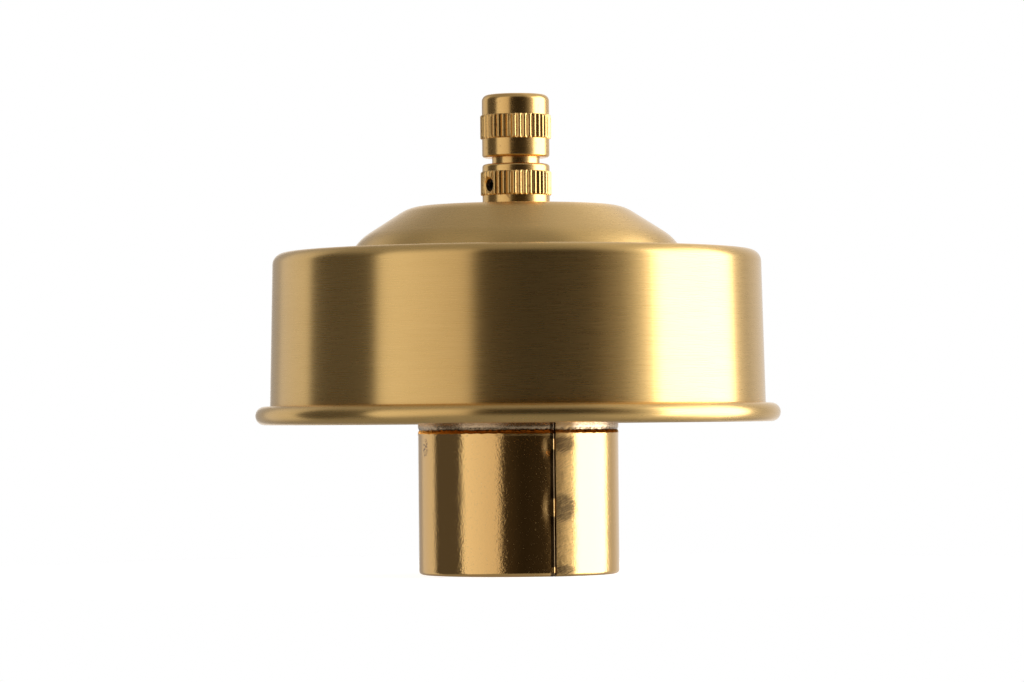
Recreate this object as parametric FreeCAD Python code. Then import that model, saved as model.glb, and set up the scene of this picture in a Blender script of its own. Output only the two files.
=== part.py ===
import FreeCAD, Part
import math
import os

# Pendant lampholder with a spun brass shade. Sizes are in millimetres, +Z is up.
# The origin is on the common axis, in the plane of the sleeve's bottom lip, on which the lamp stands.

# Fits
running_clearance = 0.08   # radial, between a turned piece and the bore that it turns or slides in
seat_clearance = 0.1       # radial, between two fixed pieces that plug together
thread_clearance = 0.05    # radial, between the threaded tube and what is screwed on it
free_clearance = 0.15      # radial, around the tube where a sheet or a washer is only slipped on it
ring_clearance = 0.025     # radial, between the contact's stem and its retaining ring

# Spun shade
shade_gauge = 0.8
drum_radius = 48.7         # outside, just under the shoulder
drum_draft = 1.35          # degrees by which the drum widens towards its rim
drum_height = 32.4         # shelf down to the middle of the rim curl
shoulder_fillet = 2.4
curl_radius = 1.85         # outside of the rolled rim
curl_crease = 0.06         # slit between the end of the curl and the drum
dome_height = 9.1
foot_radius = 33.1         # where the foot of the dome would meet the shelf
foot_angle = 55.0
foot_rise = 2.75           # height of the steeper foot
cone_angle = 32.5
crown_fillet = 8.0
break_fillet = 10.0
foot_fillet = 1.2

# Rolled sleeve
sleeve_gauge = 0.5
sleeve_corner = 1.0
lip_width = 2.0            # from the outside of the sleeve inwards
seam_angle = -70.9         # edge of the outer sheet, seen from above
seam_overlap = 4.0
joggle_width = 0.8         # along the circumference, where the sheet steps in under its own edge
seam_gap = 0.04

# Sleeve lid
lid_gauge = 1.0
lid_flange = 4.0
lid_edge_fillet = 0.4

# Lampholder body
holder_clearance = 0.35    # radial, to the inside of the seam
mouth_setback = 2.0        # holder's mouth above the sleeve's bottom
skirt_length = 34.0        # outside wall of the barrel
spigot_length = 6.0        # reduced end of the barrel inside the cap
spigot_step = 1.9
barrel_wall = 4.31
mouth_step = 0.9           # radial widening of the bore at the mouth
mouth_depth = 4.0
shell_room = 1.65          # radial, between the screw shell and the barrel
block_seat_height = 24.0   # block's seat above the holder's mouth
barrel_edge_fillet = 0.8
cap_height = 23.0
cap_cylinder_height = 14.0
cap_taper = 3.6            # how much smaller in radius the cap is at its top
cap_ceiling = 3.0
cap_ledge = 1.3            # how far the cap's ledge reaches in over the block
cap_shoulder_fillet = 3.0
cap_top_fillet = 1.5
boss_wall = 3.0
boss_depth = 9.0
boss_stop = 1.0            # web under the threaded tube

# Ceramic block
block_spigot_wall = 1.3    # wall of the barrel's spigot around the block
block_floor = 5.0
block_wall = 2.0
spring_pocket_radius = 3.3
spring_pocket_depth = 2.0

# Screw shell for the lamp
shell_radius = 12.25       # inside, where the lamp screws in
shell_end_step = 1.55      # how much smaller in radius the closed end is
shell_end_height = 4.6
shell_gauge = 0.4
shell_base_ring = 0.6      # between the rivets' heads and the hole in the shell's base
shell_fillet = 1.0
shell_setback = 3.0        # shell's edge above the holder's mouth
shell_flare = 1.0

# Sprung centre contact
contact_head_radius = 3.1
contact_head_height = 2.4
contact_tip_flat = 2.0
contact_stem_radius = 1.5
contact_drop = 3.4         # head's back below the block
contact_stem_end = 1.0     # stem's end above its retaining ring
ring_thickness = 0.8
ring_radius = 2.9
spring_wire = 0.5
spring_turns = 4.5
spring_air = 0.15          # between the coil and the faces that hold it

# Terminals
strap_gauge = 0.8
strap_width = 6.0
post_length = 5.5
post_width = 7.0
post_height = 8.0
post_margin = 1.0          # between a clamp's corner and the chamber's wall
wire_hole_radius = 1.4
wire_hole_height = 3.0
rivet_radius = 1.15
rivet_head_radius = 1.7
rivet_margin = 0.3         # between a rivet's head and the clamp beside it
rivet_head_height = 0.5
screw_radius = 1.45
screw_head_radius = 2.6
screw_head_height = 1.8
screw_slot_width = 0.7
screw_slot_depth = 0.8

# Threaded tube and what is clamped on it
tube_radius = 5.0
tube_wall = 1.25
tube_chamfer = 0.5
nut_wall = 2.0             # from the tube to a flat
nut_height = 3.0
nut_spacing = 4.8
lock_washer_width = 2.6
lock_washer_gauge = 0.8
lock_washer_slot = 1.0
clamp_washer_width = 4.0
clamp_washer_gauge = 1.0

# Cord grip
grip_wall = 1.72           # from the threaded tube to the plain outside
grip_edge_fillet = 0.6
knurl_stand = 0.36         # ribs' crests above the plain outside
knurl_sink = 0.06          # ribs' roots below it
knurl_teeth = 40
knurl_length = 4.8
knurl_chamfer = 0.22
crest_share = 0.28         # of one tooth's pitch
root_share = 0.16
knurl_turn = -92.8         # one tooth's middle, seen from above
collar_foot = 2.1          # plain band under the collar's knurl
collar_top = 1.5           # plain band over it
collar_socket = 6.6        # depth of the threaded socket
socket_end_gap = 0.2
neck_step = 0.35           # how much smaller in radius the neck's bore is than the tube's
neck_wall = 1.35
neck_length = 6.1
neck_cone = 0.9
grip_gap = 1.3             # bare neck under the clamp cap
clamp_foot = 3.7
clamp_top = 4.1
clamp_ceiling = 1.5
clamp_top_fillet = 1.3
cord_hole_room = 0.4       # radial, between the ferrule's bore and the hole in the cap
ferrule_height = 5.0
ferrule_room = 0.2         # radial, between the neck's bore and the ferrule's
ferrule_taper = 0.9

# Grub screws
grub_radius = 1.2
grub_length = 1.1
grub_socket = 0.65         # across the corners of the key socket, as a radius
grub_socket_depth = 0.7
grub_clearance = 0.05
grub_countersink = 0.35
grip_grub_angle = -143.0
grip_grub_height = 2.0     # above the lower end of the ribbed band
cap_grub_height = 3.0      # above the boss's lower end
cap_grub_stand = 0.5       # how far the screw stands out of the boss
access_hole_radius = 2.2

# Heights of the stack, from the sleeve's lip upwards
barrel_bottom = mouth_setback
barrel_shoulder = barrel_bottom + skirt_length
spigot_top = barrel_shoulder + spigot_length
cap_top = barrel_shoulder + cap_height
sleeve_top = cap_top
lid_top = sleeve_top + lid_gauge
lower_nut_top = lid_top + nut_height
upper_nut_bottom = lower_nut_top + nut_spacing
lock_washer_bottom = upper_nut_bottom + nut_height
clamp_washer_bottom = lock_washer_bottom + lock_washer_gauge
shade_underside = clamp_washer_bottom + clamp_washer_gauge
dome_top = shade_underside + shade_gauge
shelf_top = dome_top - dome_height
curl_middle = shelf_top - drum_height

collar_knurl_bottom = dome_top + collar_foot
collar_knurl_top = collar_knurl_bottom + knurl_length
collar_end = collar_knurl_top + collar_top
neck_end = collar_end + neck_length
clamp_bottom = collar_end + grip_gap
clamp_knurl_bottom = clamp_bottom + clamp_foot
clamp_knurl_top = clamp_knurl_bottom + knurl_length
clamp_end = clamp_knurl_top + clamp_top
ferrule_top = clamp_end - clamp_ceiling

boss_bottom = cap_top - boss_depth
tube_bottom = boss_bottom + boss_stop
tube_top = dome_top + collar_socket - socket_end_gap

# Radii that follow from what a piece sits in or on, from the lamp's screw shell outwards
shell_outside = shell_radius + shell_gauge
shell_end_radius = shell_radius - shell_end_step
barrel_bore = shell_outside + shell_room
mouth_bore = barrel_bore + mouth_step
holder_radius = barrel_bore + barrel_wall
seam_inside = holder_radius + holder_clearance
sleeve_radius = seam_inside + seam_gap + 2 * sleeve_gauge
cap_top_radius = holder_radius - cap_taper
spigot_radius = holder_radius - spigot_step
block_radius = spigot_radius - block_spigot_wall - seat_clearance
chamber_radius = block_radius - block_wall
ledge_radius = block_radius - cap_ledge
stem_hole = contact_stem_radius + running_clearance

tube_bore = tube_radius - tube_wall
tube_hole = tube_radius + thread_clearance
free_hole = tube_radius + free_clearance
boss_radius = tube_radius + boss_wall
nut_flats = 2 * (tube_radius + nut_wall)
lock_washer_radius = tube_radius + lock_washer_width
clamp_washer_radius = tube_radius + clamp_washer_width
grip_radius = tube_radius + grip_wall
knurl_crest = grip_radius + knurl_stand
knurl_root = grip_radius - knurl_sink
band_inside = (knurl_root + tube_hole) / 2
neck_bore = tube_bore - neck_step
neck_radius = neck_bore + neck_wall
neck_hole = neck_radius + running_clearance
ferrule_radius = neck_radius
ferrule_bore = neck_bore + ferrule_room
cord_hole = ferrule_bore + cord_hole_room

# Places of the clamps and rivets in the ceramic block
clamp_reach = chamber_radius - post_margin
post_offset = math.sqrt(clamp_reach ** 2 - (post_width / 2) ** 2) - post_length / 2
rivet_circle = shell_end_radius + shell_gauge - shell_fillet - rivet_head_radius - seat_clearance
rivet_y = post_width / 2 + rivet_margin + rivet_head_radius
rivet_x = math.sqrt(rivet_circle ** 2 - rivet_y ** 2)
shell_base_hole = rivet_circle - rivet_head_radius - shell_base_ring

# Heights inside the ceramic block
block_bottom = barrel_bottom + block_seat_height
block_floor_top = block_bottom + block_floor
cap_ledge_height = spigot_top + seat_clearance
pocket_top = block_bottom + spring_pocket_depth
strap_top = block_floor_top + strap_gauge
post_top = strap_top + post_height
shell_bottom = barrel_bottom + shell_setback
head_back = block_bottom - contact_drop

up = FreeCAD.Vector(0, 0, 1)
origin = FreeCAD.Vector(0, 0, 0)


def at(radius, height):
    return FreeCAD.Vector(radius, 0, height)


def polar(radius, degrees, height):
    angle = math.radians(degrees)
    return FreeCAD.Vector(radius * math.cos(angle), radius * math.sin(angle), height)


def rounded_path(corners, closed):
    """Lines through corners (radius, height, fillet), with a tangent arc of that fillet at each."""
    places = [at(corner[0], corner[1]) for corner in corners]
    fillets = [corner[2] if len(corner) > 2 else 0.0 for corner in corners]
    count = len(places)
    entries = []
    for index in range(count):
        here = places[index]
        is_end = not closed and index in (0, count - 1)
        if fillets[index] == 0.0 or is_end:
            entries.append((here, None, here))
            continue
        before = (places[index - 1] - here).normalize()
        after = (places[(index + 1) % count] - here).normalize()
        half_angle = before.getAngle(after) / 2
        reach = fillets[index] / math.tan(half_angle)
        middle = (before + after).normalize()
        depth = fillets[index] / math.sin(half_angle) - fillets[index]
        entries.append((here + before * reach, here + middle * depth, here + after * reach))
    edges = []
    for index in range(count):
        start, middle, end = entries[index]
        if middle is not None:
            edges.append(Part.Arc(start, middle, end).toShape())
        if index < count - 1 or closed:
            following = entries[(index + 1) % count][0]
            if end.distanceToPoint(following) > 1e-6:
                edges.append(Part.LineSegment(end, following).toShape())
    return edges


def turned(corners):
    """Solid of revolution from a closed section of (radius, height, fillet) corners."""
    wire = Part.Wire(rounded_path(corners, True))
    return Part.Face(wire).revolve(origin, up, 360)


def spun(edges, gauge):
    """Sheet of revolution: an open outline of its outer face, thickened inwards."""
    wire = Part.Wire(edges)
    section = wire.makeOffset2D(-gauge, fill=True, openResult=True)
    return section.revolve(origin, up, 360)


def cylinder(radius, bottom, top):
    return Part.makeCylinder(radius, top - bottom, at(0, bottom))


def ring(outer, inner, bottom, top):
    return cylinder(outer, bottom, top).cut(cylinder(inner, bottom, top))


def radial_cylinder(radius, degrees, height, near, far):
    """Cylinder lying along a radius of the lamp, from the near to the far distance."""
    direction = polar(1, degrees, 0)
    return Part.makeCylinder(radius, far - near, polar(near, degrees, height), direction)


def hexagon(across_flats, bottom, top):
    """Nut blank whose corners are turned off at 30 degrees on both faces."""
    corner_radius = across_flats / 2 / math.cos(math.radians(30))
    points = [polar(corner_radius, 60 * side, bottom) for side in range(7)]
    prism = Part.Face(Part.makePolygon(points)).extrude(at(0, top - bottom))
    turned_off = (corner_radius - across_flats / 2) * math.tan(math.radians(30))
    blank = turned([
        (0, bottom),
        (across_flats / 2, bottom),
        (corner_radius, bottom + turned_off),
        (corner_radius, top - turned_off),
        (across_flats / 2, top),
        (0, top),
    ])
    return prism.common(blank)


def knurl_band(bottom):
    """Band of straight ribs, with its two ends chamfered."""
    top = bottom + knurl_length
    pitch = 360 / knurl_teeth
    points = []
    for tooth in range(knurl_teeth):
        middle = knurl_turn + tooth * pitch
        crest_half = crest_share * pitch / 2
        root_half = (1 - root_share) * pitch / 2
        points.append(polar(knurl_root, middle - root_half, bottom))
        points.append(polar(knurl_crest, middle - crest_half, bottom))
        points.append(polar(knurl_crest, middle + crest_half, bottom))
        points.append(polar(knurl_root, middle + root_half, bottom))
    points.append(points[0])
    ribs = Part.Face(Part.makePolygon(points)).extrude(at(0, top - bottom))
    envelope = turned([
        (0, bottom),
        (knurl_crest - knurl_chamfer, bottom),
        (knurl_crest, bottom + knurl_chamfer),
        (knurl_crest, top - knurl_chamfer),
        (knurl_crest - knurl_chamfer, top),
        (0, top),
    ])
    return ribs.common(envelope)


def make_shade():
    """Crown, cone, steeper foot, flat shelf, drum and a rim rolled outwards, in one sheet."""
    break_height = shelf_top + foot_rise
    break_radius = foot_radius - foot_rise / math.tan(math.radians(foot_angle))
    crown_radius = break_radius - (dome_top - break_height) / math.tan(math.radians(cone_angle))
    rim_radius = drum_radius + drum_height * math.tan(math.radians(drum_draft))
    outline = rounded_path([
        (free_hole, dome_top),
        (crown_radius, dome_top, crown_fillet),
        (break_radius, break_height, break_fillet),
        (foot_radius, shelf_top, foot_fillet),
        (drum_radius, shelf_top, shoulder_fillet),
        (rim_radius, curl_middle),
    ], False)
    hollow = curl_radius - shade_gauge
    draft = math.radians(drum_draft)
    middle = at(rim_radius + hollow * math.cos(draft), curl_middle + hollow * math.sin(draft))
    last_angle = math.degrees(math.acos((rim_radius + curl_crease - middle.x) / curl_radius))
    start_angle = 180 + drum_draft
    curl_angles = [start_angle, (start_angle + last_angle + 360) / 2, last_angle + 360]
    curl_points = []
    for angle in curl_angles:
        turn = math.radians(angle)
        curl_points.append(middle + at(hollow * math.cos(turn), hollow * math.sin(turn)))
    outline.append(Part.Arc(*curl_points).toShape())
    return spun(outline, shade_gauge)


def make_sleeve():
    """Sheet rolled into a tube, lapped along one line, with its bottom edge turned in."""
    bottom = sleeve_corner
    outer = sleeve_radius
    inner = sleeve_radius - sleeve_gauge
    tuck_outer = inner - seam_gap
    tuck_inner = tuck_outer - sleeve_gauge
    per_length = 180 / math.pi / sleeve_radius
    seam = seam_angle
    joggle_start = seam + 360 - joggle_width * per_length
    slit = seam - seam_gap * per_length
    tuck_end = seam + seam_overlap * per_length

    def arc(radius, first, last):
        points = [polar(radius, angle, bottom) for angle in (first, (first + last) / 2, last)]
        return Part.Arc(*points).toShape()

    def line(first_radius, first, second_radius, second):
        start = polar(first_radius, first, bottom)
        return Part.LineSegment(start, polar(second_radius, second, bottom)).toShape()

    section = Part.Wire([
        arc(outer, seam, joggle_start),
        line(outer, joggle_start, tuck_outer, slit),
        arc(tuck_outer, slit, tuck_end),
        line(tuck_outer, tuck_end, tuck_inner, tuck_end),
        arc(tuck_inner, tuck_end, slit),
        line(tuck_inner, slit, inner, joggle_start),
        arc(inner, joggle_start, seam),
        line(inner, seam, outer, seam),
    ])
    wall = Part.Face(section).extrude(at(0, sleeve_top - bottom))
    lip_outline = rounded_path([
        (outer, bottom),
        (outer, 0, sleeve_corner),
        (outer - lip_width, 0),
    ], False)
    lip = spun(lip_outline, sleeve_gauge)
    return wall.fuse(lip).removeSplitter()


def make_sleeve_lid():
    """Disc on the sleeve's top edge, with a flange inside it."""
    flange_outer = seam_inside - seat_clearance
    flange_inner = flange_outer - lid_gauge
    flange_bottom = sleeve_top - lid_flange
    return turned([
        (free_hole, sleeve_top),
        (flange_inner, sleeve_top),
        (flange_inner, flange_bottom),
        (flange_outer, flange_bottom),
        (flange_outer, sleeve_top),
        (sleeve_radius, sleeve_top),
        (sleeve_radius, lid_top, lid_edge_fillet),
        (free_hole, lid_top),
    ])


def make_holder_cap():
    """Moulded cap with a threaded boss, a ledge over the ceramic block and a lock screw's hole."""
    cylinder_top = barrel_shoulder + cap_cylinder_height
    ceiling = cap_top - cap_ceiling
    body = turned([
        (spigot_radius + seat_clearance, barrel_shoulder),
        (holder_radius, barrel_shoulder),
        (holder_radius, cylinder_top, cap_shoulder_fillet),
        (cap_top_radius, cap_top, cap_top_fillet),
        (tube_hole, cap_top),
        (tube_hole, tube_bottom),
        (tube_bore, tube_bottom),
        (tube_bore, boss_bottom),
        (boss_radius, boss_bottom),
        (boss_radius, ceiling),
        (ledge_radius, ceiling),
        (ledge_radius, cap_ledge_height),
        (spigot_radius + seat_clearance, cap_ledge_height),
    ])
    screw_height = boss_bottom + cap_grub_height
    screw_hole = radial_cylinder(grub_radius + grub_clearance, 90, screw_height, 0, boss_radius + 1)
    access_hole = radial_cylinder(access_hole_radius, 90, screw_height, ledge_radius - 1, sleeve_radius)
    return body.cut(screw_hole).cut(access_hole)


def make_holder_barrel():
    """Moulded tube around the screw shell, open at the lamp's end."""
    mouth_top = barrel_bottom + mouth_depth
    seat_bore = block_radius + seat_clearance
    return turned([
        (mouth_bore, barrel_bottom, barrel_edge_fillet),
        (holder_radius, barrel_bottom, barrel_edge_fillet),
        (holder_radius, barrel_shoulder),
        (spigot_radius, barrel_shoulder),
        (spigot_radius, spigot_top),
        (seat_bore, spigot_top),
        (seat_bore, block_bottom),
        (barrel_bore, block_bottom),
        (barrel_bore, mouth_top),
        (mouth_bore, mouth_top),
    ])


def make_terminal_block():
    """Ceramic cup: spring pocket underneath, chamber for the terminals on top."""
    cup = turned([
        (stem_hole, pocket_top),
        (stem_hole, block_floor_top),
        (chamber_radius, block_floor_top),
        (chamber_radius, cap_ledge_height),
        (block_radius, cap_ledge_height),
        (block_radius, block_bottom),
        (spring_pocket_radius, block_bottom),
        (spring_pocket_radius, pocket_top),
    ])
    for side in (1, -1):
        hole = cylinder(rivet_radius + thread_clearance, block_bottom, block_floor_top)
        hole.translate(FreeCAD.Vector(side * rivet_x, -side * rivet_y, 0))
        cup = cup.cut(hole)
    return cup


def make_screw_shell():
    """Drawn cup for the lamp's screw base, with a narrower closed end and a flared edge."""
    end_outside = shell_end_radius + shell_gauge
    step_top = block_bottom - shell_end_height
    step_bottom = step_top - (shell_outside - end_outside)
    outline = rounded_path([
        (shell_base_hole, block_bottom),
        (end_outside, block_bottom, shell_fillet),
        (end_outside, step_top, shell_fillet),
        (shell_outside, step_bottom, shell_fillet),
        (shell_outside, shell_bottom + shell_flare, shell_flare),
        (shell_outside + shell_flare, shell_bottom),
    ], False)
    shell = spun(outline, shell_gauge)
    for side in (1, -1):
        hole = cylinder(rivet_radius + thread_clearance, block_bottom - 2 * shell_gauge, block_bottom)
        hole.translate(FreeCAD.Vector(side * rivet_x, -side * rivet_y, 0))
        shell = shell.cut(hole)
    return shell


def make_shell_rivets():
    """Two tubular rivets through the shell, the block and, on one side, the neutral strap."""
    rivets = []
    for side, seat in ((1, block_floor_top), (-1, strap_top)):
        under_shell = block_bottom - shell_gauge
        rivet = turned([
            (0, under_shell - rivet_head_height),
            (rivet_head_radius, under_shell - rivet_head_height, rivet_head_height / 2),
            (rivet_head_radius, under_shell),
            (rivet_radius, under_shell),
            (rivet_radius, seat),
            (rivet_head_radius, seat),
            (rivet_head_radius, seat + rivet_head_height, rivet_head_height / 2),
            (0, seat + rivet_head_height),
        ])
        rivet.translate(FreeCAD.Vector(side * rivet_x, -side * rivet_y, 0))
        rivets.append(rivet)
    return Part.makeCompound(rivets)


def make_centre_contact():
    """Button with a domed tip on a stem that slides through the block."""
    stem_top = strap_top + ring_thickness + contact_stem_end
    tip = head_back - contact_head_height
    return turned([
        (0, tip),
        (contact_tip_flat, tip, contact_head_height),
        (contact_head_radius, head_back - contact_head_height / 2),
        (contact_head_radius, head_back),
        (contact_stem_radius, head_back),
        (contact_stem_radius, stem_top),
        (0, stem_top),
    ])


def make_retaining_ring():
    """Ring that is sprung into the stem and rests on the live strap."""
    bore = contact_stem_radius + ring_clearance
    return ring(ring_radius, bore, strap_top, strap_top + ring_thickness)


def make_contact_spring():
    """Round wire coiled between the button and the block's pocket."""
    coil_radius = (contact_stem_radius + spring_pocket_radius) / 2
    first = head_back + spring_air + spring_wire / 2
    last = pocket_top - spring_air - spring_wire / 2
    pitch = (last - first) / spring_turns
    path = Part.makeHelix(pitch, last - first, coil_radius)
    path.translate(at(0, first))
    start = FreeCAD.Vector(coil_radius, 0, first)
    wire_section = Part.Wire(Part.makeCircle(spring_wire / 2, start, FreeCAD.Vector(0, 1, 0)))
    return Part.Wire(path.Edges).makePipeShell([wire_section], True, True)


def make_clamp_post(side):
    """Clamp block of one terminal: wire hole from the rim side, screw hole from the top."""
    corner = FreeCAD.Vector(side * post_offset - post_length / 2, -post_width / 2, block_floor_top)
    post = Part.makeBox(post_length, post_width, post_top - block_floor_top, corner)
    screw_start = FreeCAD.Vector(side * post_offset, 0, strap_top)
    screw_hole = Part.makeCylinder(screw_radius + thread_clearance, post_height, screw_start)
    wire_level = strap_top + wire_hole_height
    wire_start = FreeCAD.Vector(side * post_offset, -post_width / 2, wire_level)
    wire_hole = Part.makeCylinder(wire_hole_radius, post_width, wire_start, FreeCAD.Vector(0, 1, 0))
    return post.cut(screw_hole).cut(wire_hole)


def make_live_terminal():
    """Clamp on a strap that reaches round the contact's stem."""
    end_margin = strap_width / 2
    corner = FreeCAD.Vector(-end_margin, -strap_width / 2, block_floor_top)
    strap = Part.makeBox(end_margin + post_offset, strap_width, strap_gauge, corner)
    body = strap.fuse(make_clamp_post(1)).removeSplitter()
    return body.cut(cylinder(stem_hole, block_floor_top, strap_top))


def make_neutral_terminal():
    """Clamp on a strap that is riveted to the screw shell."""
    end_margin = strap_width / 2
    corner = FreeCAD.Vector(-post_offset - post_length / 2, 0, block_floor_top)
    far_x = -rivet_x + end_margin
    strap = Part.makeBox(far_x - corner.x, rivet_y + rivet_head_radius, strap_gauge, corner)
    body = strap.fuse(make_clamp_post(-1)).removeSplitter()
    hole = cylinder(rivet_radius + thread_clearance, block_floor_top, strap_top)
    hole.translate(FreeCAD.Vector(-rivet_x, rivet_y, 0))
    inside = cylinder(chamber_radius - seat_clearance, block_floor_top, post_top)
    return body.cut(hole).common(inside)


def make_terminal_screws():
    """Two slotted screws that press the wires down in the clamps."""
    screws = []
    for side in (1, -1):
        tip = strap_top + wire_hole_height + wire_hole_radius / 2
        shank = cylinder(screw_radius, tip, post_top)
        head = cylinder(screw_head_radius, post_top, post_top + screw_head_height)
        slot_bottom = post_top + screw_head_height - screw_slot_depth
        slot_corner = FreeCAD.Vector(-screw_head_radius, -screw_slot_width / 2, slot_bottom)
        slot = Part.makeBox(2 * screw_head_radius, screw_slot_width, screw_slot_depth, slot_corner)
        screw = shank.fuse(head).cut(slot)
        screw.translate(FreeCAD.Vector(side * post_offset, 0, 0))
        screws.append(screw)
    return Part.makeCompound(screws)


def make_tube():
    """Threaded tube that carries holder, shade and cord grip."""
    return turned([
        (tube_bore, tube_bottom),
        (tube_radius, tube_bottom),
        (tube_radius, tube_top - tube_chamfer),
        (tube_radius - tube_chamfer, tube_top),
        (tube_bore, tube_top),
    ])


def make_nut(bottom):
    top = bottom + nut_height
    return hexagon(nut_flats, bottom, top).cut(cylinder(tube_hole, bottom, top))


def make_lock_washer():
    """Spring washer, slit on one side."""
    top = lock_washer_bottom + lock_washer_gauge
    washer = ring(lock_washer_radius, free_hole, lock_washer_bottom, top)
    corner = FreeCAD.Vector(0, -lock_washer_slot / 2, lock_washer_bottom)
    slit = Part.makeBox(lock_washer_radius, lock_washer_slot, lock_washer_gauge, corner)
    return washer.cut(slit)


def grub_hole(degrees, height, surface):
    """Hole for a grub screw, from the threaded tube out, with a countersunk mouth at the surface."""
    radius = grub_radius + grub_clearance
    hole = radial_cylinder(radius, degrees, height, 0, surface + 1)
    mouth_radius = radius + grub_countersink
    sink_depth = surface - math.sqrt(surface ** 2 - mouth_radius ** 2) + grub_countersink
    start = polar(surface - sink_depth, degrees, height)
    mouth = Part.makeCone(radius, radius + sink_depth, sink_depth, start, polar(1, degrees, 0))
    return hole.fuse(mouth)


def grub_screw(degrees, height, length):
    """Headless screw whose flat point meets the threaded tube, with a six-sided key socket."""
    tip = tube_radius + thread_clearance / 2
    screw = Part.makeCylinder(grub_radius, length, at(0, tip))
    points = [polar(grub_socket, 60 * side, tip + length - grub_socket_depth) for side in range(7)]
    socket = Part.Face(Part.makePolygon(points)).extrude(at(0, grub_socket_depth))
    screw = screw.cut(socket)
    screw.rotate(origin, FreeCAD.Vector(0, 1, 0), 90)
    screw.rotate(origin, up, degrees)
    screw.translate(at(0, height))
    return screw


def make_grip_body():
    """Turned collar with a ribbed band, socket for the threaded tube and a neck for the clamp cap."""
    socket_end = dome_top + collar_socket
    core = turned([
        (tube_hole, dome_top),
        (grip_radius, dome_top),
        (grip_radius, collar_end, grip_edge_fillet),
        (neck_radius, collar_end),
        (neck_radius, neck_end),
        (neck_bore + neck_cone, neck_end),
        (neck_bore, neck_end - neck_cone),
        (neck_bore, socket_end),
        (tube_hole, socket_end),
    ])
    inside = cylinder(band_inside, collar_knurl_bottom, collar_knurl_top)
    band = knurl_band(collar_knurl_bottom).cut(inside)
    hole = grub_hole(grip_grub_angle, collar_knurl_bottom + grip_grub_height, knurl_crest)
    return core.fuse(band).cut(hole)


def make_grip_cap():
    """Turned clamp cap with a ribbed band, screwed on the neck."""
    core = turned([
        (neck_hole, clamp_bottom),
        (grip_radius, clamp_bottom, grip_edge_fillet),
        (grip_radius, clamp_end, clamp_top_fillet),
        (cord_hole, clamp_end, clamp_top_fillet / 2),
        (cord_hole, ferrule_top),
        (neck_hole, ferrule_top),
    ])
    inside = cylinder(band_inside, clamp_knurl_bottom, clamp_knurl_top)
    band = knurl_band(clamp_knurl_bottom).cut(inside)
    return core.fuse(band)


def make_ferrule():
    """Nylon clamping ring inside the cap, tapered towards the neck's cone."""
    bottom = ferrule_top - ferrule_height
    return turned([
        (ferrule_bore, bottom),
        (ferrule_radius - ferrule_taper, bottom),
        (ferrule_radius, bottom + ferrule_taper),
        (ferrule_radius, ferrule_top),
        (ferrule_bore, ferrule_top),
    ])


pieces = {
    "shade": make_shade(),
    "sleeve": make_sleeve(),
    "sleeve_lid": make_sleeve_lid(),
    "holder_cap": make_holder_cap(),
    "holder_barrel": make_holder_barrel(),
    "terminal_block": make_terminal_block(),
    "screw_shell": make_screw_shell(),
    "shell_rivets": make_shell_rivets(),
    "centre_contact": make_centre_contact(),
    "contact_ring": make_retaining_ring(),
    "contact_spring": make_contact_spring(),
    "live_terminal": make_live_terminal(),
    "neutral_terminal": make_neutral_terminal(),
    "terminal_screws": make_terminal_screws(),
    "threaded_tube": make_tube(),
    "lower_nut": make_nut(lid_top),
    "upper_nut": make_nut(upper_nut_bottom),
    "lock_washer": make_lock_washer(),
    "clamp_washer": ring(clamp_washer_radius, free_hole, clamp_washer_bottom, shade_underside),
    "grip_body": make_grip_body(),
    "grip_cap": make_grip_cap(),
    "grip_ferrule": make_ferrule(),
    "grip_grub_screw": grub_screw(grip_grub_angle, collar_knurl_bottom + grip_grub_height, grub_length),
    "holder_grub_screw": grub_screw(90, boss_bottom + cap_grub_height, boss_wall + cap_grub_stand),
}

os.makedirs("parts", exist_ok=True)
for name, shape in pieces.items():
    shape.exportStep("parts/" + name + ".step")
    box = shape.BoundBox
    span = (round(box.ZMin, 2), round(box.ZMax, 2))
    print(name, len(shape.Solids), shape.isValid(), round(shape.Volume, 1), span)
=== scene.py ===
import math

import bpy
import numpy as np
from mathutils import Euler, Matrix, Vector


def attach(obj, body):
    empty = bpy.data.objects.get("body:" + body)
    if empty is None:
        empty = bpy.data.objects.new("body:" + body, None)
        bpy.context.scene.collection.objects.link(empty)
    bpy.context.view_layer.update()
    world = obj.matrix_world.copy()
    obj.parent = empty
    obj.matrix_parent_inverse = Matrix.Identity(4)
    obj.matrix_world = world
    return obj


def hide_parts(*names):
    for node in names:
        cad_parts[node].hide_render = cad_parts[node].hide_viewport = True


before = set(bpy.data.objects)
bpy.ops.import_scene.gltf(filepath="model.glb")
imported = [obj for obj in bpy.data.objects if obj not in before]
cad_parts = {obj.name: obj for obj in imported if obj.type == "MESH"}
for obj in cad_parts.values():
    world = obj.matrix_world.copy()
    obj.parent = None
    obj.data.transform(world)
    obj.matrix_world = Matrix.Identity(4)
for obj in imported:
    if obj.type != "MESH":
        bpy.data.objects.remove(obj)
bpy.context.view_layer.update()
mm = 0.001      # sizes are in mm, and meet the scene's metres by this
print("frame loaded")


# Shapes

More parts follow.
